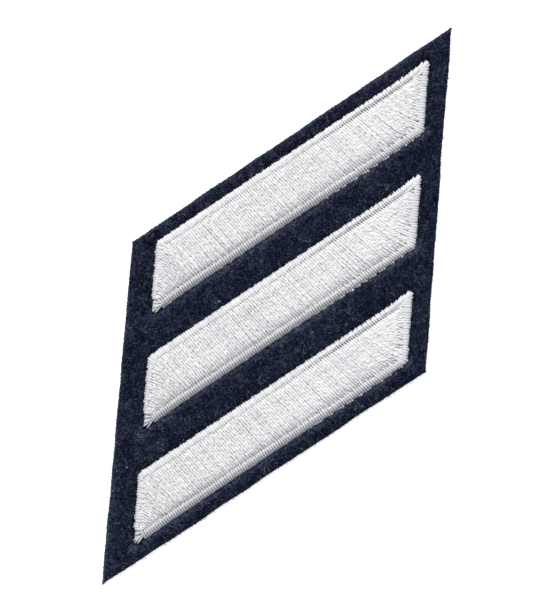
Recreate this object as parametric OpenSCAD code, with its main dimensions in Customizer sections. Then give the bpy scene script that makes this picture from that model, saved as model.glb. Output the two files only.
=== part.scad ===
// Service stripe: a slanted felt patch with three embroidered bars, lying on its back, face up.
// X runs to the right across the face, Y runs up the sleeve and Z comes out of the face.
// The origin is on the felt's back, in the middle of the box round its outline.
// Each bar is a satin stitched fill inside a raised satin border, and its stitches press the felt
// down. Everything is drawn in the bars' own frame, along and across them, and then turned.

/* [Slant] */
// Rise of the bars from left to right, in degrees
bar_rise = 33.7; // [25:0.1:40]
// Lean of the upright ends to the right, in degrees
end_lean = 4.6; // [0:0.1:10]

/* [Bars] */
// Length of a bar along its slanted edges
bar_l = 54.7; // [30:0.1:80]
// Width of a bar, square to its slanted edges
bar_w = 9.5; // [7:0.1:11]
// Distance from one bar's middle line to the next, square to the bars
bar_pitch = 15.2; // [14:0.1:20]

/* [Felt] */
// Thickness of the felt
felt_t = 1.5; // [1:0.1:3]
// Felt above the top bar, square to the bars
top_margin = 2.1; // [1.8:0.1:10]
// Felt below the bottom bar, square to the bars
bottom_margin = 2.8; // [1.8:0.1:10]
// Felt left of the bars, along them
left_margin = 5.4; // [3:0.1:15]
// Felt right of the bars, along them
right_margin = 4.1; // [3:0.1:15]
// Radius of the worn edge round the felt's face
felt_edge_r = 0.35; // [0.1:0.05:0.6]

/* [Stitching] */
// Width of the satin border round a bar
border_w = 1.3; // [0.8:0.05:1.6]
// Height of the border's crest above the pressed felt
border_h = 1.1; // [0.8:0.05:1.5]
// Height of the fill's crown above the pressed felt
fill_h = 1.0; // [0.7:0.05:1.4]
// Gap kept between one piece and the next
gap = 0.06; // [0.03:0.01:0.1]

/* [Pressed felt] */
// Depth that the stitches press the felt down
press_d = 0.3; // [0.1:0.05:0.5]
// Width of the sloping bank round a bar
bank_w = 1.3; // [0.6:0.1:1.8]

/* [Hidden] */

felt_colour = "midnightblue";
thread_colour = "white";
// Angle between a bar's long edges and its ends, and how far an end runs along for each unit across
end_angle = 90 - bar_rise - end_lean;
slant = 1 / tan(end_angle);
// Top of the pressed felt, where the stitching starts
floor_z = felt_t - press_d;
// Smallest corner radius, and how far a cut runs past what it cuts
least_r = 0.15;
past = 0.4;

// The three bars, each a little off its even place, as sewn
// Columns: rows above the middle, slide along, lift across, extra length
ROW = 0;
SLIDE = 1;
LIFT = 2;
LONGER = 3;
TOP = [1, -0.2, -0.1, 0.0];
MIDDLE = [0, 0.0, 0.0, 0.1];
BOTTOM = [-1, 0.1, -0.1, 0.3];
BARS = [TOP, MIDDLE, BOTTOM];

// Corners and bends of an outline, counter-clockwise from the sharp lower tip
// Columns: end (-1 left, 1 right), edge (-1 lower, 1 upper), distance back from that corner,
// distance out past the edge, corner radius, steps in its arc (0 for a plain bend)
END = 0;
EDGE = 1;
BACK = 2;
OUT = 3;
ROUND = 4;
STEPS = 5;
// The lower tip runs out sharp, the upper one stands up blunt, and the wide corners are worn off
bar_corners = [
    [-1, -1, 0.0, 0.30, 0.2, 5],
    [-1, -1, 7.0, 0.05, 0.0, 0],
    [1, -1, 0.0, 0.00, 0.9, 5],
    [1, 1, 0.0, 0.25, 0.5, 6],
    [1, 1, 5.0, 0.00, 0.0, 0],
    [-1, 1, 0.0, 0.00, 1.0, 4]
];
// The felt is cut a little out of true
felt_corners = [
    [-1, -1, -0.3, -0.1, 0.15, 4],
    [1, -1, -0.2, 0.2, 0.2, 3],
    [1, 1, 0.2, 0.2, 0.15, 4],
    [-1, 1, 0.3, -0.1, 0.2, 3]
];

// Columns of the section tables: how far in or out, and how far up or down
REACH = 0;
LEVEL = 1;
// The border, from its outer foot over the crest to its inner foot
// Shares of its width and of its height
border_section = [
    [0.00, 0.00],
    [0.00, 0.30],
    [0.03, 0.48],
    [0.09, 0.66],
    [0.18, 0.82],
    [0.30, 0.94],
    [0.45, 1.00],
    [0.60, 0.99],
    [0.75, 0.92],
    [0.88, 0.81],
    [1.00, 0.66],
    [1.00, 0.00]
];
// The fill, from its rim to its flat top
// Shares of the way to its middle line and of its height
fill_section = [
    [0.00, 0.00],
    [0.00, 0.72],
    [0.06, 0.82],
    [0.14, 0.90],
    [0.25, 0.96],
    [0.40, 0.99],
    [0.60, 1.00]
];
// The bank of pressed felt, from above the face down to the floor
// Shares of its width and of its depth
bank_section = [
    [1.30, -0.30],
    [0.80, 0.05],
    [0.55, 0.22],
    [0.35, 0.50],
    [0.20, 0.82],
    [0.08, 1.00]
];
// Angles round the worn edge, from the face to the side wall
edge_angles = [0:22.5:90];

// Knots of an outline: place along, place across, corner radius, steps in its arc
X = 0;
Y = 1;
KNOT_ROUND = 2;
KNOT_STEPS = 3;

// Knots of a slanted outline with these corners, between its ends and its edges
function slanted(corners, left, right, low, high) = [
    for (c = corners)
        let (
            across = c[EDGE] < 0 ? low - c[OUT] : high + c[OUT],
            end = c[END] < 0 ? left + c[BACK] : right - c[BACK]
        )
        [end + across * slant, across, c[ROUND], c[STEPS]]
];

function bar_knots(bar) =
    let (half_l = (bar_l + bar[LONGER]) / 2, half_w = bar_w / 2)
    slanted(bar_corners, -half_l, half_l, -half_w, half_w);

felt_knots = slanted(
    felt_corners,
    -bar_l / 2 - left_margin,
    bar_l / 2 + right_margin,
    -bar_pitch - bar_w / 2 - bottom_margin,
    bar_pitch + bar_w / 2 + top_margin
);

function place_of(knots, i) =
    let (k = knots[(i + len(knots)) % len(knots)])
    [k[X], k[Y]];

// Inward direction, square to the edge that leaves knot i
function inward(knots, i) =
    let (run = place_of(knots, i + 1) - place_of(knots, i))
    [-run[Y], run[X]] / norm(run);

// Knot i after both its edges have moved inward
function moved_knot(knots, i, inset) =
    let (before = inward(knots, i - 1), after = inward(knots, i))
    place_of(knots, i) + inset * (before + after) / (1 + before * after);

// The outline moved inward, or outward where inset is negative, with its corners rounded
function outline(knots, inset = 0) = [
    for (i = [0:len(knots) - 1])
        let (
            steps = knots[i][KNOT_STEPS],
            r = steps > 0 ? max(knots[i][KNOT_ROUND] - inset, least_r) : 0,
            before = inward(knots, i - 1),
            turn = acos(before * inward(knots, i)),
            start = atan2(-before[Y], -before[X]),
            middle = moved_knot(knots, i, inset + r)
        )
        for (s = [0:steps])
            let (a = start + (steps > 0 ? turn * s / steps : 0))
            middle + r * [cos(a), sin(a)]
];

function raised(points, z) = [for (p = points) [p[X], p[Y], z]];

function turned(p) = [
    p[X] * cos(bar_rise) - p[Y] * sin(bar_rise),
    p[X] * sin(bar_rise) + p[Y] * cos(bar_rise)
];

// Middle of the box round the felt, once it is turned
felt_middle =
    let (
        points = [for (p = outline(felt_knots)) turned(p)],
        xs = [for (p = points) p[X]],
        ys = [for (p = points) p[Y]]
    )
    [min(xs) + max(xs), min(ys) + max(ys)] / 2;

// Triangles between neighbouring loops of the same count, and back to the first loop for a ring
function skin(count, loops, closed) = [
    for (j = [0:loops - (closed ? 1 : 2)], i = [0:count - 1])
        let (
            below = j * count,
            above = (j + 1) % loops * count,
            next = (i + 1) % count
        )
        each [
            [below + i, above + i, below + next],
            [below + next, above + i, above + next]
        ]
];

// A solid over stacked loops, closed by its lowest and its highest loop
module stack(loops) {
    count = len(loops[0]);
    top = (len(loops) - 1) * count;
    polyhedron(
        [for (l = loops) each l],
        concat(
            [[for (i = [0:count - 1]) i]],
            skin(count, len(loops), false),
            [[for (i = [count - 1:-1:0]) top + i]]
        )
    );
}

// A ring over loops that go once round its section
module ring(loops) {
    polyhedron(
        [for (l = loops) each l],
        skin(len(loops[0]), len(loops), true)
    );
}

// Turns the bars' frame to the row's, with the felt's middle over the origin
module in_place() {
    translate(concat(-felt_middle, 0)) rotate(bar_rise) children();
}

module at_bar(bar) {
    across = bar[ROW] * bar_pitch + bar[LIFT];
    translate([bar[SLIDE] + across * slant, across, 0]) children();
}

// The room that a bar's stitches press into the felt
module pressed_room(bar) {
    rows = len(bank_section);
    stack([
        for (i = [1:rows])
            let (s = bank_section[rows - i])
            raised(outline(bar_knots(bar), -bank_w * s[REACH]), felt_t - press_d * s[LEVEL])
    ]);
}

// What wear takes off round the felt's face
module worn_edge() {
    side_z = felt_t - felt_edge_r;
    ring(concat(
        [raised(outline(felt_knots, felt_edge_r), felt_t + past)],
        [
            for (a = edge_angles)
                raised(
                    outline(felt_knots, felt_edge_r * (1 - sin(a))),
                    side_z + felt_edge_r * cos(a)
                )
        ],
        [for (z = [side_z, felt_t + past]) raised(outline(felt_knots, -past), z)]
    ));
}

module felt_backing() {
    color(felt_colour)
        in_place()
        difference() {
            linear_extrude(felt_t) polygon(outline(felt_knots));
            worn_edge();
            for (bar = BARS)
                at_bar(bar) pressed_room(bar);
        }
}

module bar_border(bar) {
    color(thread_colour)
        in_place() at_bar(bar)
        ring([
            for (s = border_section)
                raised(
                    outline(bar_knots(bar), border_w * s[REACH]),
                    floor_z + gap + (border_h - gap) * s[LEVEL]
                )
        ]);
}

// The fill inside a border, crowned along the bar's middle line
module bar_fill(bar) {
    ridge = (bar_l - bar_w) / 2;
    rim = outline(bar_knots(bar), border_w + gap);
    color(thread_colour)
        in_place() at_bar(bar)
        stack([
            for (s = fill_section)
                let (z = floor_z + gap + (fill_h - gap) * s[LEVEL])
                [
                    for (p = rim)
                        let (crown = [max(-ridge, min(ridge, p[X])), 0])
                        concat(p + s[REACH] * (crown - p), z)
                ]
        ]);
}

felt_backing();
bar_fill(TOP);  // top_bar_fill
bar_border(TOP);  // top_bar_border
bar_fill(MIDDLE);  // middle_bar_fill
bar_border(MIDDLE);  // middle_bar_border
bar_fill(BOTTOM);  // bottom_bar_fill
bar_border(BOTTOM);  // bottom_bar_border
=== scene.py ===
import math
from collections import namedtuple

import bpy
import numpy as np
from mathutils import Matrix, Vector


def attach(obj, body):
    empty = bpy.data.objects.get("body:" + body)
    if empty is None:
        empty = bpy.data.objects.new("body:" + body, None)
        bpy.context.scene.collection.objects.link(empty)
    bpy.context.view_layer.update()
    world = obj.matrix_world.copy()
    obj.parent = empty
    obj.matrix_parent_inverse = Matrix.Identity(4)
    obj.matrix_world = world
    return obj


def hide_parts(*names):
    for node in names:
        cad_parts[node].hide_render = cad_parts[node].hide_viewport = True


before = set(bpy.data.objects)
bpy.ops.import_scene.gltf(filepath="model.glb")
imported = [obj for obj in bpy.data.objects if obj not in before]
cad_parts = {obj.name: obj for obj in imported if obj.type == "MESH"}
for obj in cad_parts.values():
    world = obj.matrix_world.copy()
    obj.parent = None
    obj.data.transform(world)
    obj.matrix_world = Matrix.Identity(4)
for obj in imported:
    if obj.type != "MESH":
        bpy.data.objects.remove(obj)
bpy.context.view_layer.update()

# Embroidered bars on a felt patch. Lengths are in millimetres and angles in degrees until a mesh
# is made. The bars' frame runs along and across the bars, as the CAD source draws them.
MM = 0.001

# Sizes that the CAD source has
BAR_RISE = 33.7
END_LEAN = 4.6
BAR_L = 54.7
BAR_W = 9.5
BAR_PITCH = 15.2
FELT_T = 1.5
TOP_MARGIN = 2.1
BOTTOM_MARGIN = 2.8
LEFT_MARGIN = 5.4
RIGHT_MARGIN = 4.1
BORDER_W = 1.3
BORDER_H = 1.1
FILL_H = 1.0
GAP = 0.06
PRESS_D = 0.3
BANK_W = 1.3
LEAST_R = 0.15  # least radius of a corner
END_ANGLE = 90 - BAR_RISE - END_LEAN
SLANT = 1 / math.tan(math.radians(END_ANGLE))
FLOOR_Z = FELT_T - PRESS_D

# How far each bar is slid along and lifted across from its row's place, and how much longer it is
Bar = namedtuple("Bar", "name row slide lift longer")
BARS = [
    Bar("top_bar", 1, -0.2, -0.1, 0.0),
    Bar("middle_bar", 0, 0.0, 0.0, 0.1),
    Bar("bottom_bar", -1, 0.1, -0.1, 0.3),
]
# Counter-clockwise from the sharp lower tip: end, edge, distance back, distance out, radius, steps
Corner = namedtuple("Corner", "end edge back out radius steps")
BAR_CORNERS = [
    Corner(-1, -1, 0.0, 0.30, 0.2, 5),
    Corner(-1, -1, 7.0, 0.05, 0.0, 0),
    Corner(1, -1, 0.0, 0.00, 0.9, 5),
    Corner(1, 1, 0.0, 0.25, 0.5, 6),
    Corner(1, 1, 5.0, 0.00, 0.0, 0),
    Corner(-1, 1, 0.0, 0.00, 1.0, 4),
]
FELT_CORNERS = [
    Corner(-1, -1, -0.3, -0.1, 0.15, 4),
    Corner(1, -1, -0.2, 0.2, 0.2, 3),
    Corner(1, 1, 0.2, 0.2, 0.15, 4),
    Corner(-1, 1, 0.3, -0.1, 0.2, 3),
]
# Sections, as a row of places and a row of levels
# The fill: shares of the way from the border to the middle, and of the height
UPPER_FILL_SECTION = (
    [0.00, 0.06, 0.14, 0.25, 0.40, 0.60, 1.00],
    [0.92, 0.96, 1.015, 1.055, 1.06, 1.015, 0.985],
)
LOWER_FILL_SECTION = (
    [0.00, 0.06, 0.12, 0.18, 0.24, 0.30, 0.45, 0.70, 1.00],
    [0.42, 0.59, 0.71, 0.785, 0.84, 0.88, 0.95, 0.985, 0.985],
)
# The border: distances in from the outline, and shares of the height
# It is flat along the upper edge and at the ends, and rolls over along the lower edge
UPPER_BORDER_SECTION = (
    [0.0, 0.06, 0.15, 0.28, 0.45, 0.70, 0.95, 1.20],
    [0.30, 0.52, 0.71, 0.85, 0.92, 0.92, 0.905, 0.89],
)
LOWER_BORDER_SECTION = (
    [0.0, 0.10, 0.25, 0.45, 0.65, 0.85, 1.00, 1.15, 1.30],
    [0.14, 0.34, 0.56, 0.78, 0.93, 1.00, 0.91, 0.72, 0.46],
)
END_BORDER_SECTION = (
    [0.0, 0.10, 0.25, 0.45, 0.70, 1.00, 1.30],
    [0.20, 0.40, 0.57, 0.70, 0.77, 0.80, 0.80],
)
# The pressed felt's bank: shares of its width out from the outline, and of the depth
BANK_SECTION = (
    [0.08, 0.20, 0.35, 0.55, 0.80, 0.87],
    [1.00, 0.82, 0.50, 0.22, 0.05, 0.00],
)

# Sizes of the thread
PITCH = 0.448  # from one border stitch to the next, and from one thread of a fill to the next
FILL_START = 0.75  # how deep inside a bar's outline the fill's threads start
FILL_END = 0.9  # how deep inside it they end
THREAD_POINTS = 60


# Outlines, in the bars' frame
Knot = namedtuple("Knot", "place radius steps")


def slanted(corners, left, right, low, high):
    knots = []
    for c in corners:
        across = low - c.out if c.edge < 0 else high + c.out
        end = left + c.back if c.end < 0 else right - c.back
        knots.append(Knot(np.array([end + across * SLANT, across]), c.radius, c.steps))
    return knots


def bar_knots(bar):
    half_l, half_w = (BAR_L + bar.longer) / 2, BAR_W / 2
    return slanted(BAR_CORNERS, -half_l, half_l, -half_w, half_w)


def outline(knots, inset=0.0):
    """The knots' outline moved inward, with its corners rounded."""
    places = np.array([k.place for k in knots])
    runs = np.roll(places, -1, 0) - places
    inward = np.stack([-runs[:, 1], runs[:, 0]], 1) / np.linalg.norm(runs, axis=1)[:, None]
    loop = []
    for i, knot in enumerate(knots):
        before, after = inward[i - 1], inward[i]
        cosine = before @ after
        r = max(knot.radius - inset, LEAST_R) if knot.steps else 0.0
        middle = places[i] + (inset + r) * (before + after) / (1 + cosine)
        turn = math.acos(min(1.0, cosine))
        start = math.atan2(-before[1], -before[0])
        for s in range(knot.steps + 1):
            a = start + (turn * s / knot.steps if knot.steps else 0.0)
            loop.append(middle + r * np.array([math.cos(a), math.sin(a)]))
    return np.array(loop)


def heading_of(degrees):
    a = np.radians(degrees)
    return np.stack([np.cos(a), np.sin(a)], -1)


def turned(p, degrees=BAR_RISE):
    c, s = math.cos(math.radians(degrees)), math.sin(math.radians(degrees))
    return np.stack([p[..., 0] * c - p[..., 1] * s, p[..., 0] * s + p[..., 1] * c], -1)


FELT_KNOTS = slanted(
    FELT_CORNERS,
    -BAR_L / 2 - LEFT_MARGIN,
    BAR_L / 2 + RIGHT_MARGIN,
    -BAR_PITCH - BAR_W / 2 - BOTTOM_MARGIN,
    BAR_PITCH + BAR_W / 2 + TOP_MARGIN,
)
FELT_LOOP = outline(FELT_KNOTS)
FELT_BOX = turned(FELT_LOOP)
FELT_MIDDLE = (FELT_BOX.min(0) + FELT_BOX.max(0)) / 2


def bar_place(bar):
    across = bar.row * BAR_PITCH + bar.lift
    return np.array([bar.slide + across * SLANT, across])


def in_row(points):
    """Points in the bars' frame, as points of the row's frame."""
    flat = turned(points[..., :2]) - FELT_MIDDLE
    return np.concatenate([flat, points[..., 2:]], -1)


def as_laid(points, bar):
    """Points about a bar's own middle, as points of the row's frame."""
    points[..., :2] += bar_place(bar)
    return in_row(points)


def raised(flat, z):
    """Flat points with their heights, or with one height for all."""
    return np.concatenate([flat, np.broadcast_to(z, flat.shape[:-1])[..., None]], -1)


def depth_in(points, loop):
    """How far inside the loop the points are, negative outside it."""
    x, y = points[..., 0], points[..., 1]
    nearest = np.full(x.shape, np.inf)
    inside = np.zeros(x.shape, bool)
    for a, b in zip(loop, np.roll(loop, -1, 0)):
        run = b - a
        share = np.clip(((x - a[0]) * run[0] + (y - a[1]) * run[1]) / (run @ run), 0, 1)
        dx, dy = x - a[0] - share * run[0], y - a[1] - share * run[1]
        nearest = np.minimum(nearest, dx * dx + dy * dy)
        crosses = (a[1] > y) != (b[1] > y)
        if run[1]:
            inside ^= crosses & (x < a[0] + (y - a[1]) / run[1] * run[0])
    return np.where(inside, 1, -1) * np.sqrt(nearest)


def soft(x):
    """Smooth step from 0 to 1."""
    x = np.clip(x, 0, 1)
    return x * x * (3 - 2 * x)


def hump(x, width):
    """Falls smoothly from 1 where x is 0 to almost 0 where it is twice the width."""
    return np.exp(-((x / width) ** 2))


def noise(points, cell, seed):
    """Smooth noise from -1 to 1, with lumps about a cell wide."""
    size = 256
    table = np.random.default_rng(seed).uniform(-1, 1, (size, size))
    place = points[..., :2] / cell
    low = np.floor(place).astype(int)
    fx, fy = np.moveaxis(soft(place - low), -1, 0)
    x0, y0 = low[..., 0] % size, low[..., 1] % size
    x1, y1 = (x0 + 1) % size, (y0 + 1) % size
    return (table[x0, y0] * (1 - fx) + table[x1, y0] * fx) * (1 - fy) + (
        table[x0, y1] * (1 - fx) + table[x1, y1] * fx
    ) * fy


def both_ways(points, cell, seed, amount):
    """Smooth noise along and across the bars."""
    return np.stack([noise(points, cell, seed), noise(points, cell, seed + 1)], -1) * amount


# Meshes
class Shape:
    """Points, arrays of faces, the UVs of the faces' corners, and the tones of the points.

    All faces of one array have the same number of corners.
    """

    def __init__(self, points, faces, uvs=None, tone=None):
        self.points = points.reshape(-1, 3)
        self.faces = faces
        self.uvs = uvs or [np.zeros(f.shape + (2,)) for f in faces]
        self.tone = np.zeros(len(self.points)) if tone is None else tone.ravel()


def joined(shapes):
    faces, uvs, first = [], [], 0
    for s in shapes:
        faces += [f + first for f in s.faces]
        uvs += s.uvs
        first += len(s.points)
    points = np.concatenate([s.points for s in shapes])
    return Shape(points, faces, uvs, np.concatenate([s.tone for s in shapes]))


def in_scene(name, data):
    made = bpy.data.objects.new(name, data)
    bpy.context.scene.collection.objects.link(made)
    return made


def piece(name, shape, material, body="root"):
    """The shape as an object of the scene that rides on a body."""
    counts = np.concatenate([np.full(len(f), f.shape[1]) for f in shape.faces])
    corners = np.concatenate([f.ravel() for f in shape.faces])
    mesh = bpy.data.meshes.new(name)
    mesh.vertices.add(len(shape.points))
    mesh.vertices.foreach_set("co", (shape.points * MM).ravel())
    mesh.loops.add(len(corners))
    mesh.loops.foreach_set("vertex_index", corners.astype(np.int32))
    mesh.polygons.add(len(counts))
    starts = np.concatenate([[0], np.cumsum(counts)[:-1]])
    mesh.polygons.foreach_set("loop_start", starts.astype(np.int32))
    mesh.polygons.foreach_set("use_smooth", np.ones(len(counts), bool))
    mesh.update(calc_edges=True)
    layer = mesh.uv_layers.new(name="UVMap")
    layer.data.foreach_set("uv", np.concatenate([u.reshape(-1, 2) for u in shape.uvs]).ravel())
    tone = mesh.attributes.new("tone", "FLOAT", "POINT")
    tone.data.foreach_set("value", shape.tone.astype(np.float32))
    mesh.validate()
    mesh.materials.append(material)
    made = in_scene(name, mesh)
    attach(made, body)
    return made


def unit(v):
    return v / np.maximum(np.linalg.norm(v, axis=-1, keepdims=True), 1e-9)


def tubes(paths, half_w, half_h, tone, sides=5):
    """Flattened tubes along paths (tubes, points, 3). A level stretch lies on its flat side."""
    many, steps = paths.shape[:2]
    along = np.gradient(paths, axis=1)
    flat = along.copy()
    flat[..., 2] = 0
    # A path may stand upright at its ends, so its sideways direction comes from its whole run there
    whole = paths[:, -1:] - paths[:, :1]
    whole[..., 2] = 0
    own_share, whole_share = 0.999, 0.02
    flat = unit(flat) * own_share + unit(whole) * whole_share
    side = unit(np.stack([-flat[..., 1], flat[..., 0], 0 * flat[..., 0]], -1))
    up = unit(np.cross(unit(along), side))
    angles = 2 * np.pi * np.arange(sides) / sides - np.pi / 2
    rings = (
        paths[:, :, None]
        + side[:, :, None] * (np.cos(angles) * half_w[..., None])[..., None]
        + up[:, :, None] * (np.sin(angles) * half_h[..., None])[..., None]
    )
    number = np.arange(many * steps * sides).reshape(many, steps, sides)
    nxt = np.roll(number, -1, 2)
    quads = np.stack([number[:, :-1], nxt[:, :-1], nxt[:, 1:], number[:, 1:]], -1)
    run = np.cumsum(np.linalg.norm(np.diff(paths, axis=1, prepend=paths[:, :1]), axis=-1), 1)
    around = np.arange(sides) / sides
    u0, u1 = around, around + 1 / sides
    v0, v1 = run[:, :-1, None], run[:, 1:, None]
    uv = np.empty(quads.shape + (2,))
    for corner, (u, v) in enumerate([(u0, v0), (u1, v0), (u1, v1), (u0, v1)]):
        uv[..., corner, 0] = u
        uv[..., corner, 1] = v
    caps = np.concatenate([number[:, 0, ::-1], number[:, -1]])
    tones = np.broadcast_to(tone.reshape(many, -1, 1), number.shape)
    quads = quads.reshape(-1, 4)
    return Shape(rings, [quads, caps], [uv.reshape(-1, 4, 2), np.zeros(caps.shape + (2,))], tones)


def lofted(loops, closed):
    """A solid through loops of one count: a ring where it is closed, or else with filled ends."""
    count = loops.shape[1]
    number = np.arange(loops.shape[0] * count).reshape(-1, count)
    below, above = (number, np.roll(number, -1, 0)) if closed else (number[:-1], number[1:])
    quads = np.stack(
        [below, np.roll(below, -1, 1), np.roll(above, -1, 1), above], -1
    ).reshape(-1, 4)
    faces = [quads] if closed else [quads, number[:1, ::-1], number[-1:]]
    return Shape(loops, faces)


# Materials
def new_material(name):
    made = bpy.data.materials.new(name)
    made.use_nodes = True
    return made, made.node_tree.nodes, made.node_tree.links


def settle(node, values):
    """Sets a node's own sockets, by their names."""
    for name, value in values.items():
        node.inputs[name].default_value = value


def ramp(nodes, stops):
    node = nodes.new("ShaderNodeValToRGB")
    elements = node.color_ramp.elements
    while len(elements) < len(stops):
        elements.new(0.5)
    for element, (place, colour) in zip(elements, stops):
        element.position = place
        element.color = (*colour, 1)
    return node


def noise_node(nodes, links, vector, scale, detail, roughness=0.6):
    node = nodes.new("ShaderNodeTexNoise")
    settle(node, {"Scale": scale, "Detail": detail, "Roughness": roughness})
    links.new(vector, node.inputs["Vector"])
    return node.outputs["Fac"]


def math_node(nodes, links, operation, *values):
    node = nodes.new("ShaderNodeMath")
    node.operation = operation
    for i, value in enumerate(values):
        if isinstance(value, (int, float)):
            node.inputs[i].default_value = value
        else:
            links.new(value, node.inputs[i])
    return node.outputs[0]


def weighted(nodes, links, *parts):
    """The sum of some values, each times its share. The parts are pairs of a value and a share."""
    total = None
    for value, share in parts:
        part = math_node(nodes, links, "MULTIPLY", value, share)
        total = part if total is None else math_node(nodes, links, "ADD", total, part)
    return total


def tone_of(nodes):
    """The tone that each point of the mesh has, from 0 to 1 in most places. It holds painted light
    and painted shade as well as tone that differs at random.
    """
    node = nodes.new("ShaderNodeAttribute")
    node.attribute_name = "tone"
    return node.outputs["Fac"]


def bumped(nodes, links, shader, height, strength, distance):
    """Fine relief in a shader, up to a distance in millimetres."""
    bump = nodes.new("ShaderNodeBump")
    settle(bump, {"Strength": strength, "Distance": distance * MM})
    links.new(height, bump.inputs["Height"])
    links.new(bump.outputs[0], shader.inputs["Normal"])


def thread_material():
    made, nodes, links = new_material("thread")
    shader = nodes["Principled BSDF"]
    tone = tone_of(nodes)
    uv = nodes.new("ShaderNodeUVMap")
    uv.uv_map = "UVMap"
    part = nodes.new("ShaderNodeSeparateXYZ")
    links.new(uv.outputs[0], part.inputs[0])
    around, along = part.outputs[0], part.outputs[1]
    # Fine filaments run along each thread, and differ from thread to thread
    place = nodes.new("ShaderNodeCombineXYZ")
    for i, (value, scale) in enumerate([(around, 9.0), (along, 0.9), (tone, 90.0)]):
        links.new(math_node(nodes, links, "MULTIPLY", value, scale), place.inputs[i])
    streak = noise_node(nodes, links, place.outputs[0], 1.0, 3.0, 0.6)
    mixed = weighted(nodes, links, (streak, 0.75), (tone, 0.25))
    # The lowest, bluer stops are reached mostly where the border's stitches have painted shade,
    # whose tone goes below 0
    colour = ramp(nodes, [
        (0.12, (0.650, 0.690, 0.765)),
        (0.28, (0.690, 0.695, 0.725)),
        (0.50, (0.845, 0.833, 0.845)),
        (0.75, (0.945, 0.928, 0.932)),
    ])
    links.new(mixed, colour.inputs[0])
    links.new(colour.outputs[0], shader.inputs["Base Color"])
    # Two plies twisted round each other
    twist = 1.1  # length of one turn
    turn = weighted(nodes, links, (around, 2 * math.pi), (along, 2 * math.pi / twist))
    ply = math_node(nodes, links, "ABSOLUTE", math_node(nodes, links, "SINE", turn))
    bumped(nodes, links, shader, weighted(nodes, links, (ply, 0.5), (streak, 0.8)), 0.5, 0.04)
    tangent = nodes.new("ShaderNodeTangent")
    tangent.direction_type = "UV_MAP"
    tangent.uv_map = "UVMap"
    links.new(tangent.outputs[0], shader.inputs["Tangent"])
    settle(shader, {"Roughness": 0.42, "Specular IOR Level": 0.35})
    settle(shader, {"Anisotropic": 0.5, "Anisotropic Rotation": 0.25})
    settle(shader, {"Sheen Weight": 0.15, "Sheen Roughness": 0.4})
    return made


def tinted(nodes, links, colour, place):
    """The colour turned towards teal in some patches and towards purple in others."""
    tint = ramp(nodes, [
        (0.38, (0.93, 1.02, 1.01)),
        (0.50, (1.0, 1.0, 1.02)),
        (0.62, (1.07, 0.97, 1.03)),
    ])
    links.new(noise_node(nodes, links, place, 900.0, 2.0), tint.inputs[0])
    mix = nodes.new("ShaderNodeMix")
    mix.data_type = "RGBA"
    mix.blend_type = "MULTIPLY"
    settle(mix, {"Factor": 1.0})
    links.new(colour, mix.inputs["A"])
    links.new(tint.outputs[0], mix.inputs["B"])
    return mix.outputs["Result"]


def felt_material():
    made, nodes, links = new_material("felt")
    shader = nodes["Principled BSDF"]
    place = nodes.new("ShaderNodeTexCoord").outputs["Object"]
    broad = noise_node(nodes, links, place, 350.0, 3.0, 0.6)
    fine = noise_node(nodes, links, place, 2200.0, 4.0, 0.7)
    # The face is lighter where its tone is higher: painted light on its top and left edges and on
    # the bank below each bar
    mixed = weighted(nodes, links, (broad, 0.25), (fine, 0.75), (tone_of(nodes), 0.14))
    # The face is darker than the nap, which paints the shade in the pits between the nap's clumps,
    # besides the felt's own mottling
    colour = ramp(nodes, [
        (0.38, (0.0008, 0.0016, 0.0060)),
        (0.48, (0.0049, 0.0079, 0.0205)),
        (0.56, (0.0153, 0.0220, 0.0470)),
        (0.66, (0.0450, 0.0565, 0.0930)),
    ])
    links.new(mixed, colour.inputs[0])
    links.new(tinted(nodes, links, colour.outputs[0], place), shader.inputs["Base Color"])
    grain = noise_node(nodes, links, place, 5200.0, 3.0, 0.7)
    bumped(nodes, links, shader, math_node(nodes, links, "ADD", grain, fine), 0.8, 0.08)
    settle(shader, {"Roughness": 0.7, "Specular IOR Level": 0.04})
    return made


def toned_material(name, stops, roughness, scale, patchy=False):
    """Fibres whose colour comes from each one's own tone and a little noise."""
    made, nodes, links = new_material(name)
    shader = nodes["Principled BSDF"]
    place = nodes.new("ShaderNodeTexCoord").outputs["Object"]
    spots = noise_node(nodes, links, place, scale, 2.0)
    colour = ramp(nodes, stops)
    links.new(weighted(nodes, links, (tone_of(nodes), 0.7), (spots, 0.3)), colour.inputs[0])
    shown = colour.outputs[0]
    if patchy:
        shown = tinted(nodes, links, shown, place)
    links.new(shown, shader.inputs["Base Color"])
    settle(shader, {"Roughness": roughness, "Specular IOR Level": 0.08})
    return made


THREAD = thread_material()
FELT = felt_material()
NAP = toned_material("nap", [
    (0.15, (0.0020, 0.0030, 0.0080)),
    (0.38, (0.0144, 0.0192, 0.0390)),
    (0.62, (0.0790, 0.0930, 0.1370)),
    (0.85, (0.1650, 0.1880, 0.2450)),
], 0.5, 700.0, patchy=True)
LINT = toned_material("lint", [(0.2, (0.55, 0.57, 0.6)), (0.8, (0.8, 0.8, 0.82))], 0.8, 3000.0)


# Felt
def pressed(points):
    """How far the stitches press the felt down at these points, as a share of the depth."""
    share = np.zeros(points.shape[:-1])
    for bar in BARS:
        loop = outline(bar_knots(bar)) + bar_place(bar)
        out = -depth_in(points, loop) / BANK_W
        share = np.maximum(share, np.interp(out, *BANK_SECTION))
    return share


FELT_EDGE_R = 0.42  # radius over which the face falls away to the cut edge
FACE_DROP = 0.03  # how far the middle of the face's lumps lies below the full thickness
FACE_LUMPS = [(0.035, 2.3, 11), (0.03, 0.9, 12), (0.022, 0.42, 13)]  # height, width and seed
BACK_LUMPS = (0.012, 0.8, 31)
CUT_REACH = 1.5  # how far in from the cut edge the outline's unevenness reaches
LIT_BANK_W = 0.5  # width of the strip below each bar that gets full painted light
LIT_BANK_FADE = 0.65  # how far beyond it the painted light fades
LIT_RIM_FADE = 0.5  # how far in the painted light on the top and left edges fades
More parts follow.
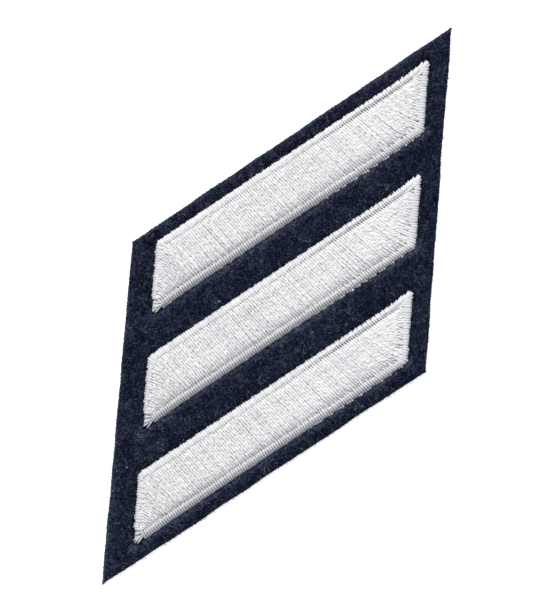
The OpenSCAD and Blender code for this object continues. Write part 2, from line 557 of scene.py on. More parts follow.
# The ways out of the felt's top and left edges, which get painted light, in the bars' frame
LIT_EDGE_WAYS = heading_of(np.array([90, 90 + END_ANGLE]))
NAP_FIBRES = 13300
EDGE_FIBRES = 3200
FIBRE_SHARES = (-0.5, -0.17, 0.17, 0.5)  # a fibre's points along it, from its middle


def painted_light_rim(points):
    """Painted light on the felt at these points, where the light catches its top and left edges:
    from 1 on these edges to 0 well inside.
    """
    inside = np.min([max(FELT_LOOP @ way) - points[..., :2] @ way for way in LIT_EDGE_WAYS], 0)
    return np.exp(-np.clip(inside, 0, None) / LIT_RIM_FADE)


def painted_lit_bank(points):
    """Painted light on the felt's bank along the lower edge of each bar, which faces the light,
    from 0 to 1.
    """
    share = np.zeros(points.shape[:-1])
    for bar in BARS:
        own = points[..., :2] - bar_place(bar)
        out = -depth_in(own, outline(bar_knots(bar)))
        near = hump(np.clip(out - LIT_BANK_W, 0, None), LIT_BANK_FADE)
        below = own[..., 1] < -0.46 * BAR_W
        share = np.maximum(share, below * (out > 0) * near)
    return share


def felt_top(points):
    """Height of the felt's face."""
    inside = np.clip(depth_in(points, FELT_LOOP), 0, FELT_EDGE_R)
    drop = FELT_EDGE_R - np.sqrt(FELT_EDGE_R**2 - (FELT_EDGE_R - inside) ** 2)
    lumps = sum(height * noise(points, width, seed) for height, width, seed in FACE_LUMPS)
    return FELT_T - FACE_DROP - drop - PRESS_D * pressed(points) + lumps


def felt_shape():
    """The felt, and the rings of points (rings, points, 3) of its cut edge in the bars' frame."""
    corners = np.array([k.place for k in FELT_KNOTS])
    lower_left, lower_right, upper_right, upper_left = corners
    # The face is a grid whose lines are closer near the edges than further in
    near = np.array([0.0, 0.03, 0.09, 0.18, 0.29, 0.42, 0.6, 0.82])
    even_from, step = 1.08, 0.31

    def shares(length):
        many = round((length - 2) / step)
        inner = np.linspace(even_from, length - even_from, many)
        return np.concatenate([near, inner, length - near[::-1]]) / length

    def close_to(distance):
        return soft(1 - distance / CUT_REACH)

    bottom_run = np.linalg.norm(lower_right - lower_left)
    left_run = np.linalg.norm(upper_left - lower_left)
    s = shares(bottom_run)[:, None, None]
    t = shares(left_run)[None, :, None]
    flat = (lower_left * (1 - s) + lower_right * s) * (1 - t) + (
        upper_left * (1 - s) + upper_right * s
    ) * t
    edge = 1 - soft(depth_in(flat, corners) / CUT_REACH)
    wave = both_ways(flat, 4.5, 21, 0.10)
    ragged = both_ways(flat, 0.5, 23, 0.035)
    moved = flat + (wave + ragged) * edge[..., None]
    # The cut runs a little wide of the corners' outline on all four sides
    from_left, from_low = s[..., 0] * bottom_run, t[..., 0] * left_run
    moved[..., 1] += 0.08 * close_to(left_run - from_low) - 0.02 * close_to(from_low)
    moved[..., 0] += 0.04 * close_to(bottom_run - from_left) - 0.05 * close_to(from_left)
    top = raised(moved, felt_top(flat))
    height, width, seed = BACK_LUMPS
    back = raised(moved, height * (1 + noise(flat, width, seed)) * (1 - edge))

    rows, cols = flat.shape[:2]
    number = np.arange(rows * cols).reshape(rows, cols)

    def cells(n):
        return np.stack([n[:-1, :-1], n[1:, :-1], n[1:, 1:], n[:-1, 1:]], -1).reshape(-1, 4)

    rim = np.concatenate([number[:-1, 0], number[-1, :-1], number[:0:-1, -1], number[0, :0:-1]])
    high, low = top.reshape(-1, 3)[rim], back.reshape(-1, 3)[rim]
    levels = np.array([0.16, 0.36, 0.58, 0.8])  # shares of the way down the cut edge
    walls = []
    for i, level in enumerate(levels):
        ring = high * (1 - level) + low * level
        ring[:, :2] += both_ways(ring * 3 + 7 * i, 1.1, 41, 0.03)
        walls.append(ring)
    first = rows * cols
    loops = [rim] + [first * 2 + i * len(rim) + np.arange(len(rim)) for i in range(len(levels))]
    loops.append(rim + first)
    sides = [
        np.stack([lower, np.roll(lower, -1), np.roll(upper, -1), upper], -1)
        for upper, lower in zip(loops[:-1], loops[1:])
    ]
    points = np.concatenate([top.reshape(-1, 3), back.reshape(-1, 3), *walls])
    # Painted light on the face's top and left edges and on the bank below each bar, on the face
    # only
    tone = (painted_light_rim(points) + 0.5 * painted_lit_bank(points)) * (points[:, 2] > FELT_T / 2)
    faces = [cells(number), cells(number + first)[:, ::-1], *sides]
    return Shape(in_row(points), faces, None, tone), np.array(walls)


def spindles(paths, radius, tone):
    """Thin fibres with pointed ends along paths (fibres, 4, 3)."""
    many = len(paths)
    along = unit(paths[:, 2] - paths[:, 1])
    side = unit(np.cross(along, [0.0, 0.0, 1.0]) + 1e-6)
    up = np.cross(side, along)
    angles = np.pi * (0.5 + 2 * np.arange(3) / 3)
    around = (
        side[:, None, None] * np.cos(angles)[:, None] + up[:, None, None] * np.sin(angles)[:, None]
    ) * radius[:, None, None, None]
    rings = paths[:, 1:3, None] + around
    points = np.concatenate([paths[:, :1], rings.reshape(many, 6, 3), paths[:, 3:]], 1)
    first = 8 * np.arange(many)[:, None, None]
    tips = np.array([[0, 2, 1], [0, 3, 2], [0, 1, 3], [7, 4, 5], [7, 5, 6], [7, 6, 4]])
    sides = np.array([[1, 2, 5, 4], [2, 3, 6, 5], [3, 1, 4, 6]])
    faces = [(tips + first).reshape(-1, 3), (sides + first).reshape(-1, 4)]
    return Shape(points, faces, None, np.repeat(tone, 8))


def fuzz_paths(walls, many, rng):
    """Fibres that stand out from the felt's cut edge."""
    rings, around = walls.shape[:2]
    ring, at = rng.integers(0, rings, many), rng.integers(0, around, many)
    here, following = walls[ring, at], walls[ring, (at + 1) % around]
    start = here + (following - here) * rng.uniform(0, 1, (many, 1))
    run = following - here
    out = unit(np.stack([run[:, 1], -run[:, 0], 0 * run[:, 0]], -1))
    lean = rng.normal(0, 0.8, many)
    along = unit(run) * np.sin(lean)[:, None] + out * np.cos(lean)[:, None]
    length = rng.gamma(4.0, 0.055, many)[:, None]
    bend = unit(run) * rng.normal(0, 0.12, (many, 1)) + [0, 0, 1] * rng.normal(0, 0.1, (many, 1))
    shares = np.array([-0.3, 0.2, 0.65, 1.0])
    return np.stack([start + length * (along * s + bend * s * s) for s in shares], 1)


def nap_shape(walls):
    """Short loose fibres lying on the felt's face, and standing out from its edge."""
    rng = np.random.default_rng(5)
    low, high = FELT_LOOP.min(0), FELT_LOOP.max(0)
    tries = 9  # places tried for each fibre, since many of them fall out
    seeds = rng.uniform(low, high, (NAP_FIBRES * tries, 2))
    # Fibres lie in clumps, with pits between them where the darker face shows, which paints their
    # shade
    clumps = noise(seeds, 0.75, 53) + 0.6 * noise(seeds, 0.4, 54)
    # The top and left edges are fuller, and their fibres get painted light
    rim = painted_light_rim(seeds)
    keep = clumps + rim + rng.uniform(-0.8, 0.8, len(seeds)) > -0.25
    seeds, clumps, rim = seeds[keep], clumps[keep], rim[keep]
    inside = depth_in(seeds, FELT_LOOP)
    clear = inside > 0.05
    for bar in BARS:
        clear &= depth_in(seeds - bar_place(bar), outline(bar_knots(bar))) < -0.12
    seeds, clumps, rim, inside = [a[clear][:NAP_FIBRES] for a in (seeds, clumps, rim, inside)]
    many = len(seeds)
    heading = rng.uniform(0, 2 * np.pi, many)
    length = rng.gamma(5.0, 0.12, many).clip(0.25, 1.3) * (1 - 0.4 * (inside < 0.5))
    bend = rng.normal(0, 0.5, many)
    flat = np.empty((many, 4, 2))
    for i, share in enumerate(FIBRE_SHARES):
        a = heading + bend * share
        flat[:, i] = seeds + np.stack([np.cos(a), np.sin(a)], -1) * (length * share)[:, None]
    radius = rng.uniform(0.03, 0.075, many)
    lift = rng.uniform(-0.03, 0.07, (many, 1)) + np.array([-0.05, 0.02, 0.03, -0.02])
    paths = raised(flat, felt_top(flat) + lift)
    tone = 0.36 + 0.2 * clumps * (1 - rim) + 0.1 * noise(seeds, 1.7, 52)
    # Painted light on the bank below each bar and on the top and left edges
    tone += 0.35 * painted_lit_bank(seeds) + 0.45 * rim
    tone = np.clip(tone + rng.normal(0, 0.24, many) * (1 - 0.6 * rim), 0, 1)
    fuzz = fuzz_paths(walls, EDGE_FIBRES, rng)
    paths = np.concatenate([paths, fuzz])
    radius = np.concatenate([radius, rng.uniform(0.012, 0.028, len(fuzz))])
    tone = np.concatenate([tone, rng.uniform(0.3, 0.9, len(fuzz))])
    return spindles(in_row(paths), radius, tone)


# Specks of white lint: place in the row's frame and size
LINT_SPECKS = [
    (-9.6, 0.8, 0.30), (-25.0, -26.9, 0.34), (-26.6, -27.4, 0.22),
    (-27.3, -30.8, 0.18), (-3.5, -26.3, 0.24), (10.8, 1.8, 0.22),
]
# One longer fibre of lint: place, direction in degrees and length
LINT_FIBRE = (5.9, -4.4, 40, 0.9)
LINT_R = 0.03
SPECK_FIBRES = 9


def lint_shape():
    """Small knots of white fibres caught on the felt, and one loose white fibre."""
    rng = np.random.default_rng(6)
    runs = []
    for x, y, size in LINT_SPECKS:
        for _ in range(SPECK_FIBRES):
            heading = rng.uniform(0, 360) + np.array([-40, 0, 0, 40])
            along = np.array([-0.5, -0.2, 0.2, 0.5])[:, None]
            run = np.array([x, y]) + heading_of(heading) * size * along
            runs.append(run + rng.normal(0, size / 8, 2))
    x, y, heading, length = LINT_FIBRE
    along = np.array(FIBRE_SHARES)[:, None] * length
    runs.append(np.array([x, y]) + heading_of(heading + np.array([-6, 0, 0, 8])) * along)
    flat = np.array(runs)
    z = felt_top(turned(flat + FELT_MIDDLE, -BAR_RISE)) + 2 * LINT_R
    paths = raised(flat, z + rng.uniform(0, 2 * LINT_R, (len(flat), 1)))
    return spindles(paths, np.full(len(flat), LINT_R), rng.uniform(0, 1, len(flat)))


# Stitches
def from_end(points, bar, end):
    """Distance in from a bar's left (-1) or right (1) end, square to that end."""
    along = points[..., 0] - points[..., 1] * SLANT
    return ((BAR_L + bar.longer) / 2 - end * along) * math.sin(math.radians(END_ANGLE))


# Directions of a fill's threads, in degrees in the row's frame, by the distance in from each end
RIGHT_TURN = (
    [0.8, 1.5, 2.5, 4.0, 6.0, 9.0, 16.0, 24.0, 34.0],
    [-6, -14, -26, -34, -39, -43, -45.5, -47.5, -49.5],
)
LEFT_TURN = ([0.8, 1.4, 2.2, 3.6], [-16, -31, -43, -50])


def fill_direction(points, bar):
    """Direction of a fill's threads, in degrees in the bars' frame. They turn level at the ends."""
    right = np.interp(from_end(points, bar, 1), *RIGHT_TURN)
    left = np.interp(from_end(points, bar, -1), *LEFT_TURN)
    return np.maximum(left, right) - BAR_RISE


def rolls_over(points, bar):
    """How far a bar's lower edge is rolled over, from 1 along most of it to 0 near the right."""
    flat_up_to, change = 9, 10
    return soft((from_end(points, bar, 1) - flat_up_to) / change)


def groove_at(points, bar):
    """How marked the groove below the upper border is, from 0 on the left to 1 near the right."""
    starts_at, change = 24, 16
    return soft((starts_at - from_end(points, bar, 1)) / change)


def fill_level(points, depth, bar):
    """Height of the fill's face over points that are so deep inside the bar's outline."""
    share = (depth - BORDER_W - GAP) / (BAR_W / 2 - BORDER_W - GAP)
    lower = soft((1.5 - points[..., 1]) / 3) * soft(from_end(points, bar, 1) / 4)
    lower *= soft((from_end(points, bar, -1) - 1.2) / 1.6)
    level = np.interp(share, *UPPER_FILL_SECTION)
    level += lower * (np.interp(share, *LOWER_FILL_SECTION) - level)
    return FLOOR_Z + GAP + (FILL_H - GAP) * level


def fill_runs(bar, loop, between):
    """Flat tracks of the fill's threads (threads, points, 2), whose ends are under the border.

    A thread starts at each stitch of the upper and left border, or half way between two.
    """
    places, heading = stitch_places(bar)[:2]
    out = heading_of(heading)
    starts = places - out * reach_to(places, -out, loop, FILL_START, 2.0)[:, None]
    if between:
        starts = (starts + np.roll(starts, 1, 0)) / 2
    enters = np.sum(heading_of(fill_direction(starts, bar)) * out, -1) < -0.25
    track = [starts[enters]]
    step, steps, shortest = 0.1, 150, 0.9
    for _ in range(steps):
        half = track[-1] + step / 2 * heading_of(fill_direction(track[-1], bar))
        track.append(track[-1] + step * heading_of(fill_direction(half, bar)))
    tracks = np.stack(track, 1)
    inside = depth_in(tracks, loop) > FILL_END
    index = np.arange(tracks.shape[1])
    runs = []
    for track, clear in zip(tracks, inside):
        # A thread may start a little less deep than it ends, so its first steps aren't tested
        untested = 6
        last = untested + np.argmin(clear[untested:])
        if last * step < shortest:
            continue
        at = np.linspace(0, last, THREAD_POINTS)
        runs.append(np.stack([np.interp(at, index, track[:, i]) for i in (0, 1)], -1))
    return np.array(runs)


def wander(rng, run, waves):
    """Smooth noise along threads, from pairs of a wavelength and an amount.

    Neighbours keep some likeness, so that the threads crowd and part.
    """
    total = np.zeros(run.shape)
    for wave, amount in waves:
        phase = np.cumsum(rng.normal(0, 2.0, len(run))) + rng.uniform(0, 6)
        total += amount * np.sin(2 * np.pi * run / wave + phase[:, None])
    return total


# A fill has threads on its face, and others between them that come up here and there. Columns: how
# freely they drift, half their width, how far and in which waves it varies, half their height, how
# far they lie below the face, and the waves in which they rise and fall
Layer = namedtuple("Layer", "freedom half_w uneven swells half_h low rises")
FACE = Layer(
    1.0, 0.215, 0.09, [(1.4, 1.0), (2.7, 1.0)],
    0.13, 0.0, [(0.8, 0.025), (1.4, 0.025), (2.7, 0.02)],
)
BETWEEN = Layer(
    2.5, 0.2, 0.08, [(1.1, 1.0), (2.7, 1.0)],
    0.11, 0.12, [(0.7, 0.04), (1.1, 0.05), (2.1, 0.02)],
)
CROSSING = 0.2  # share of the threads that cross over their neighbours


def fill_threads(bar, loop, layer, rng):
    """One layer of the fill's threads."""
    between = layer is BETWEEN
    runs = fill_runs(bar, loop, between)
    many = len(runs)
    run = np.cumsum(np.linalg.norm(np.diff(runs, axis=1, prepend=runs[:, :1]), axis=-1), 1)
    left = run[:, -1:] - run
    along = unit(np.gradient(runs, axis=1))
    side = np.stack([-along[..., 1], along[..., 0]], -1)
    # Each goes its own way, except where they all start from the stitches of the border
    drift = wander(rng, run, [(2.6, 0.02), (4.7, 0.025)])
    drift += layer.freedom * wander(rng, run, [(0.9, 0.012), (1.5, 0.02)])
    crosses = rng.random(many) < CROSSING
    drift += (rng.normal(0, 0.05, many) + crosses * rng.normal(0, 0.14, many))[:, None] * run / 8
    from_left = from_end(runs[:, :1], bar, -1) < 2
    drift *= soft(run / 1.2) * (1 + from_left)
    # They crowd into bundles where they end
    bundle = 5
    crowd = np.cumsum(rng.normal(0, 1.0, many))
    crowd = crowd - np.convolve(crowd, np.ones(bundle) / bundle, "same")
    drift += 0.08 * crowd[:, None] * hump(left, 1.1)
    flat = runs + side * drift[..., None]
    depth = depth_in(flat, loop)
    z = fill_level(flat, depth, bar) + 0.03 * noise(flat, 2.4, 61) + 0.03 * noise(flat, 6.0, 62)
    # They dive under the border, but hardly at the right end
    dives = 1 - 0.7 * soft((3 - from_end(flat[:, -1:], bar, 1)) / 1.2)
    dives = dives * (0.6 + 0.4 * groove_at(flat, bar) + 0.45 * noise(flat[:, -1:], 1.4, 63))
    z -= 0.32 * dives * (1 - soft(left / 1.0))
    # Those from the left come up from under its long stitches
    z -= 0.13 * from_left * (1 - soft(run / 0.8))
    # Those from the upper border start in its groove
    groove = groove_at(flat[:, :1], bar) * ~from_left * (run < left)
    dip = groove * hump(depth - 1.12, 0.28)
    z -= 0.12 * dip
    z += 0.05 * (crosses[:, None] * soft(run / 2) * soft(left / 2))
    # They are further apart where they run level, and closer where they come from the left
    steepest = LEFT_TURN[1][-1]
    apart = np.sin(np.radians(90 - END_LEAN - BAR_RISE - fill_direction(flat, bar)))
    apart *= np.where(from_left, 0.75, 1.0) / math.sin(math.radians(90 - END_LEAN - steepest))
    width = layer.half_w * np.minimum(apart, 1.05)
    width = width * (1 + layer.uneven * wander(rng, run, layer.swells))
    z += wander(rng, run, layer.rises) - layer.low
    if between:
        z -= 0.03 * soft((flat[..., 1] + 1) / 2) + 0.05 * from_left
        z -= 0.02 * ~from_left * hump(run - 0.2, 0.25) + 0.5 * dip
        z -= 0.22 * dives * hump(left, 1.4)
        # Where the threads part, those between come up beside them
        z += 0.18 * soft((apart - 1.0) / 0.3) * soft((left - 0.6) / 1.4)
    else:
        width *= 1 - 0.2 * hump(run - 0.25, 0.25) - 0.4 * dives * hump(left, 1.4)
        width *= 1 - 0.5 * dip
    paths = raised(flat, z - layer.half_h)
    return paths, width, np.full(run.shape, layer.half_h), rng.uniform(0, 1, many)


def fill_pad(bar, loop):
    """The soft base of underlay that the fill's threads lie on."""
    ridge = (BAR_L - BAR_W) / 2
    rim = outline(bar_knots(bar), BORDER_W - 0.1)
    crown = np.stack([np.clip(rim[:, 0], -ridge, ridge), 0 * rim[:, 0]], -1)
    loops = [raised(rim, FLOOR_Z + 0.02)]
    below_face, notch_d, lower_share = 0.25, 0.45, 0.45
    for share in [0.0, 0.06, 0.14, 0.25, 0.4, 0.6, 0.8]:
        flat = rim + share * (crown - rim)
        depth = depth_in(flat, loop)
        z = fill_level(flat, depth, bar) - below_face
        near = hump(depth - 1.15, 0.35)
        z -= notch_d * near * np.where(flat[:, 1] > 0, groove_at(flat, bar), lower_share)
        loops.append(raised(flat, z))
    return np.array(loops)


def fill_shape(bar):
    loop = outline(bar_knots(bar))
    rng = np.random.default_rng(100 + bar.row)
    shapes = []
    for layer in (FACE, BETWEEN):
        paths, width, height, tone = fill_threads(bar, loop, layer, rng)
        shapes.append(tubes(as_laid(paths, bar), width, height, tone))
    shapes.append(lofted(as_laid(fill_pad(bar, loop), bar), False))
    return joined(shapes)


# How the border's stitches turn round each corner of a bar, counter-clockwise from the lower tip:
# pairs of a distance along the border from it, and the way out in degrees in the row's frame
LOWER_TIP, LOWER_CORNER, UPPER_TIP, UPPER_CORNER = 0, 2, 3, 5
STITCH_TURNS = {
    LOWER_TIP: [(-5.0, 175.4), (-2.4, 177), (1.8, 294), (2.8, 303.7)],
    LOWER_CORNER: [
        (-24, 303.7), (-14, 309), (-8, 315), (-4, 320), (-1.5, 327), (0, 335), (1.5, 346),
        (3, 355.4),
    ],
    UPPER_TIP: [
        (-3.0, 355.4), (-1.6, 358), (-1.1, 375), (-0.7, 402), (-0.2, 417), (1.2, 422), (2.4, 434),
        (3.6, 455), (4.8, 475), (6.2, 483.7),
    ],
    UPPER_CORNER: [(-1.8, 483.7), (0.0, 510), (1.8, 535.4)],
}
STITCH_LINE = 0.3  # how far in from the outline the stitches are evenly spaced
FAN_ROOT = (2.2, 2.25)  # root of the fan at a bar's lower tip, in the row's frame from that tip
FAN_REACH = (2.4, 1.8)  # how far along the border the fan reaches before the tip and after it
FAN_NOTCH = 2.2  # how far above the tip the notch is
FAN_BULGE = 2.9  # how far above the tip the bulge is
FAN_HALF_W = 0.17  # half the width of a stitch of the fan
FAN_APART, LEAST_APART = 0.5, 0.2  # least distance between stitches in the fan and elsewhere
# The kinds of border stitch. Columns: how far the outer feet stand out, how unevenly by pairs, and
# how far they creep; how far in the inner feet are, and how unevenly; half the height and width;
# and the widths of the neck and the outer foot, as shares of the width
Kind = namedtuple("Kind", "outward pairs creep inward uneven half_h half_w neck foot")
KINDS = [
    Kind(-0.06, 0.02, 0.12, -0.08, 0.1, 0.07, 0.29, 0.65, 0.8),  # upper edge
    Kind(0.03, 0.015, 0.03, -0.16, 0.03, 0.16, 0.165, 0.7, 1.7),  # lower edge, rolled over
    Kind(0.17, 0.03, 0.25, -0.1, 0.4, 0.14, 0.215, 0.5, 1.1),  # lower edge, flat
    Kind(-0.13, 0.02, 0.1, -0.15, 0.5, 0.065, 0.31, 0.6, 0.8),  # left end
    Kind(0.0, 0.02, 0.06, 0.2, 0.6, 0.07, 0.28, 0.6, 0.85),  # right end
]


def stitch_places(bar):
    """Places of a bar's border stitches, and the way out from each, in degrees in the bars' frame.

    Also how far along the border each is from the lower tip and from the upper one.
    """
    knots = bar_knots(bar)
    loop = outline(knots, STITCH_LINE)
    runs = np.roll(loop, -1, 0) - loop
    lengths = np.linalg.norm(runs, axis=1)
    ends = np.concatenate([[0], np.cumsum(lengths)])
    total = ends[-1]
    count = round(total / PITCH)
    at = np.arange(count) * total / count
    edge = np.searchsorted(ends, at, "right") - 1
    places = loop[edge] + runs[edge] * ((at - ends[edge]) / lengths[edge])[:, None]
    firsts = np.cumsum([0] + [k.steps + 1 for k in knots])
    table, past = [], {}
    for corner, turns in STITCH_TURNS.items():
        middle = (ends[firsts[corner]] + ends[firsts[corner] + knots[corner].steps]) / 2
        table += [(middle + distance, heading) for distance, heading in turns]
        past[corner] = (at - middle + total / 2) % total - total / 2
    where, headings = np.array(table).T
    # Carried on round the loop, so that the first corner's turn is whole
    where = np.concatenate([where, where + total])
    headings = np.concatenate([headings, headings + 360])
    late = np.where(at < where[0], at + total, at)
    return places, np.interp(late, where, headings) - BAR_RISE, past[LOWER_TIP], past[UPPER_TIP]


def reach_to(places, heading, loop, level, limit):
    """How far each place moves along its heading to a depth inside the loop, or nearest to it."""
    steps = np.linspace(0, limit, 121)
    depth = depth_in(places[:, None] + heading[:, None] * steps[:, None], loop)
    passed = (depth < level) != (depth[:, :1] < level)
    nearest = np.abs(depth - level).argmin(1)
    return steps[np.where(passed.any(1), passed.argmax(1), nearest)]


def well_apart(places, out, least):
    """The stitches that are left when each lies at least so far beside the one before it."""
    kept = [0]
    for i in range(1, len(places)):
        step = places[i] - places[kept[-1]]
        if abs(step[0] * out[i][1] - step[1] * out[i][0]) >= least[i]:
            kept.append(i)
    return np.array(kept)


def creeping(rng, many, least, most):
    """Runs of stitches whose ends creep out, one after another, from -0.5 to 0.5."""
    runs = [np.linspace(-0.5, 0.5, n) for n in rng.integers(least, most + 1, many)]
    return np.concatenate(runs)[:many]


def border_stitches(bar, loop, rng):
    """The satin stitches over a bar's edge, each from its inner foot to its outer one."""
    places, heading, past_lower_tip, past_upper_tip = stitch_places(bar)
    at_left = np.abs(from_end(places, bar, -1)) < 2 * STITCH_LINE
    out = heading_of(heading + rng.normal(0, 1, len(places)) * np.where(at_left, 3.0, 1.0))
    # The sharp lower tip is a fan of thin stitches from one root
    root = loop[BAR_CORNERS[LOWER_TIP].steps // 2] + turned(np.array(FAN_ROOT), -BAR_RISE)
    fan = (past_lower_tip > -FAN_REACH[0]) & (past_lower_tip < FAN_REACH[1])
    out[fan] = unit(places[fan] - root)
    kept = well_apart(places, out, np.where(fan, FAN_APART, LEAST_APART))
    notch = np.abs(past_lower_tip[kept] + FAN_NOTCH) < PITCH / 2
    bulge = hump(past_lower_tip[kept] + FAN_BULGE, 0.4)
    places, out, fan, past_upper_tip = places[kept], out[kept], fan[kept], past_upper_tip[kept]
    many = len(places)
    sideways = np.stack([-out[:, 1], out[:, 0]], -1)
    odd = np.where(np.arange(many) % 2, 1.0, -1.0)
    # Which edge a stitch belongs to, by the way that it faces
    facing = heading_of(np.array([90, -90, 90 + END_ANGLE, END_ANGLE - 90])) @ out.T
    facing = np.clip(facing, 0.01, 1) ** 6
    upper, lower, left, right = facing / facing.sum(0)
    # The lower edge is rolled over along most of it, and flat near the right end
    rolled = lower * rolls_over(places, bar)
    kinds = np.stack([upper, rolled, lower - rolled, left, right], -1)
    kinds[fan] = [0, 0, 0, 1, 0]
    upper, rolled, flush, left, right = kinds.T
    own = Kind(*(kinds @ column for column in zip(*KINDS)))
    groove = groove_at(places, bar)
    knob = hump(past_upper_tip, 0.8)

    # Near the right end two stitches at a time share a hole at the outer edge, so it is toothed
    toothed = upper * soft((16 - from_end(places, bar, 1)) / 8)
    pair = rng.normal(0, 1, many // 2 + 1).repeat(2)[:many]
    outward = reach_to(places, out, loop, 0.0, 3.0) + own.outward
    outward += 0.12 * knob + pair * own.pairs
    outward += creeping(rng, many, 3, 5) * own.creep + 0.03 * odd * toothed
    # A bulge and a notch part the level stitches from the fan
    outward += rng.normal(0, 1, many) * (0.015 + 0.13 * fan + 0.03 * left)
    outward += 0.08 * bulge - 0.25 * fan - 0.15 * notch
    outer = places + out * outward[:, None]
    outer += sideways * (odd * (0.015 * upper + 0.03 * toothed + 0.03 * right))[:, None]
    outer += sideways * (rng.normal(0, 0.05, many) * fan)[:, None]
    inward = reach_to(places, -out, loop, BORDER_W, 3.0) + rng.normal(0, 0.05, many)
    inward += own.inward - 0.32 * upper * groove
    inward += rng.uniform(-1, 1, many) * own.uneven
    inner = places - out * inward[:, None]
    inner[fan] = root + rng.normal(0, 0.12, (fan.sum(), 2))
    # A stitch's points are closer together near its feet
    shares = np.array(
        [0, 0.02, 0.07, 0.15, 0.25, 0.36, 0.48, 0.6, 0.72, 0.82, 0.91, 0.97, 1.0, 1.0]
    )
    flat = inner[:, None] + (outer - inner)[:, None] * shares[:, None]
    depth = np.clip(depth_in(flat, loop), 0, None)
    level = (
        upper[:, None] * np.interp(depth, *UPPER_BORDER_SECTION)
        + (rolled + 0.55 * flush)[:, None] * np.interp(depth, *LOWER_BORDER_SECTION)
        + (0.45 * flush + left + right)[:, None] * np.interp(depth, *END_BORDER_SECTION)
    )
    level += (0.08 * right - 0.1 * left)[:, None] * (1 - soft(depth / 0.7))
    z = FLOOR_Z + GAP + (BORDER_H - GAP) * level
    z -= 0.2 * (upper * groove)[:, None] * soft((depth - 0.55) / 0.4)
    # A long stitch at an end lies on the fill
    on_fill = (left + right)[:, None] * soft((depth - 0.9) / 0.3)
    z += on_fill * np.maximum(fill_level(flat, depth, bar) + 0.01 - z, 0)
    half_h = own.half_h + 0.06 * fan
    # The stitches of the rolled edge flatten towards their outer feet
    half_h = half_h[:, None] * (1 - rolled[:, None] * np.interp(shares, [0.4, 0.9], [0, 0.5]))
    z += rng.normal(0, 0.012, (many, 1)) - half_h
    z += (0.07 * odd * fan)[:, None]
    # The inner feet go down into the fill, and the outer ones into the felt
    z[:, :3] -= [0.04, 0.01, 0.0]
    z[:, :4] -= (0.4 * left + right)[:, None] * [0.1, 0.1, 0.06, 0.02]
    z[:, -1] = FLOOR_Z - 0.2
    z[:, -2] = np.minimum(z[:, -2], FLOOR_Z + 0.05)
    width = own.half_w * (1 + (0.04 + 0.06 * left) * rng.normal(0, 1, many))
    # Each narrows to its feet, but the rolled ones spread to their outer feet
    neck = own.neck - 0.15 * upper * groove
    foot = own.foot - 0.1 * toothed
    narrow = (1 - rolled)[:, None] * np.interp(shares, [0, 0.27], [1, 0])
    narrow += rolled[:, None] * np.interp(shares, [0.45, 0.8], [1, 0])
    taper = 1 - narrow * (1 - neck[:, None])
    taper *= 1 - np.interp(shares, [0.5, 1], [0, 1]) * (1 - foot[:, None])
    # Those of the fan spread from its root and end in points
    width[fan] = FAN_HALF_W
    taper[fan] = np.interp(shares, [0, 0.6, 0.85, 1], [0.3, 0.85, 1, 0.35])
    # The level stitches of both ends and the flat ones of the lower edge get painted shade, and so
    # do the outer feet of the rolled ones, which face away from the light
    painted_shade = (left + right + 1.2 * flush)[:, None]
    painted_shade = painted_shade + rolled[:, None] * (0.6 + np.interp(shares, [0.5, 1], [0, 0.5]))
    tone = rng.uniform(0, 1, (many, 1)) * (1 - 0.6 * painted_shade) - 0.2 * painted_shade
    # Painted shade at both feet of the rolled stitches, most at the outer one
    tone -= rolled[:, None] * np.interp(shares, [0.2, 0.5, 1], [0.35, 0.1, 0.45])
    tone[fan] += rng.normal(-0.9, 0.6, (fan.sum(), 1))
    return raised(flat, z), width[:, None] * taper, half_h, tone


# The underlay's section: distances in from the outline, and heights above the pressed felt
CORE_SECTION = (
    [0.30, 0.32, 0.45, 0.65, 0.90, 1.10, 1.15],
    [0.02, 0.15, 0.35, 0.50, 0.50, 0.38, 0.02],
)


def border_core(bar):
    """The underlay beneath a border's stitches, from its outer foot over to its inner one."""
    knots = bar_knots(bar)
    return np.array([raised(outline(knots, i), FLOOR_Z + z) for i, z in zip(*CORE_SECTION)])


def border_shape(bar):
    loop = outline(bar_knots(bar))
    rng = np.random.default_rng(200 + bar.row)
    paths, width, height, tone = border_stitches(bar, loop, rng)
    stitches = tubes(as_laid(paths, bar), width, height, tone)
    return joined([stitches, lofted(as_laid(border_core(bar), bar), True)])


# The pieces
shape, cut_edge = felt_shape()
felt = piece("felt", shape, FELT)
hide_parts("felt_backing")

nap = piece("felt_nap", nap_shape(cut_edge), NAP)

lint = piece("lint", lint_shape(), LINT)

for bar in BARS:
    fill = piece(bar.name + "_fill_stitches", fill_shape(bar), THREAD)
    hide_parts(bar.name + "_fill")
    border = piece(bar.name + "_border_stitches", border_shape(bar), THREAD)
    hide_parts(bar.name + "_border")

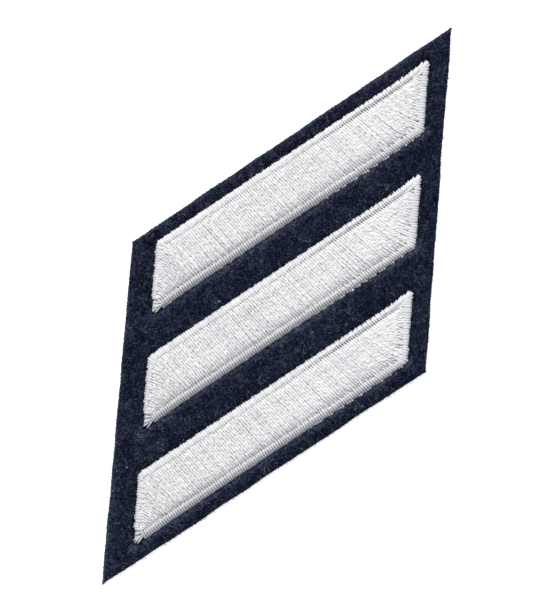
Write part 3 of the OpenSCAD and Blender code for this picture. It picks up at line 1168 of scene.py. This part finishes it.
# Camera, light and floor
PICTURE_H = 600
PIXEL = 0.1665  # millimetres of the felt's face to a pixel
CAMERA_AT = (-1.12, 1.03, 1000.0)
SENSOR = 36.0

view = bpy.data.cameras.new("camera")
view.sensor_width = SENSOR
view.lens = SENSOR * (CAMERA_AT[2] - FELT_T) / (PIXEL * PICTURE_H)
view.clip_start, view.clip_end = 0.01, 10
camera = in_scene("camera", view)
camera.location = Vector(CAMERA_AT) * MM
bpy.context.scene.camera = camera
bpy.context.scene.view_settings.view_transform = "Standard"


def softbox(name, azimuth, elevation, distance, size, power, colour):
    """A light that faces the middle, in metres and watts. Azimuth is counted from +X towards +Y."""
    data = bpy.data.lights.new(name, "AREA")
    data.shape = "RECTANGLE"
    data.size, data.size_y = size
    data.energy = power
    data.color = colour
    made = in_scene(name, data)
    a, e = math.radians(azimuth), math.radians(elevation)
    way = Vector((math.cos(a) * math.cos(e), math.sin(a) * math.cos(e), math.sin(e)))
    made.location = way * distance
    made.rotation_euler = (-made.location).to_track_quat("-Z", "Y").to_euler()


softbox("key", 92, 52, distance=2.2, size=(1.3, 0.9), power=47, colour=(1.0, 0.985, 0.97))

world = bpy.data.worlds.new("studio")
bpy.context.scene.world = world
world.use_nodes = True
settle(world.node_tree.nodes["Background"], {"Color": (0.90, 0.95, 1.0, 1), "Strength": 0.34})

# The floor is white paper that glows a little, in metres
FLOOR_HALF = 4.0
FLOOR_DROP = 0.00002  # how far it lies below the felt
floor_mesh = bpy.data.meshes.new("floor")
corners = [(-1, -1), (1, -1), (1, 1), (-1, 1)]
floor_points = [(x * FLOOR_HALF, y * FLOOR_HALF, -FLOOR_DROP) for x, y in corners]
floor_mesh.from_pydata(floor_points, [], [(0, 1, 2, 3)])
floor = in_scene("floor", floor_mesh)
paper, paper_nodes, _ = new_material("floor")
paper_shader = paper_nodes["Principled BSDF"]
settle(paper_shader, {"Base Color": (0.97, 0.97, 0.97, 1), "Roughness": 0.9})
settle(paper_shader, {"Emission Color": (1, 1, 1, 1), "Emission Strength": 0.75})
floor_mesh.materials.append(paper)
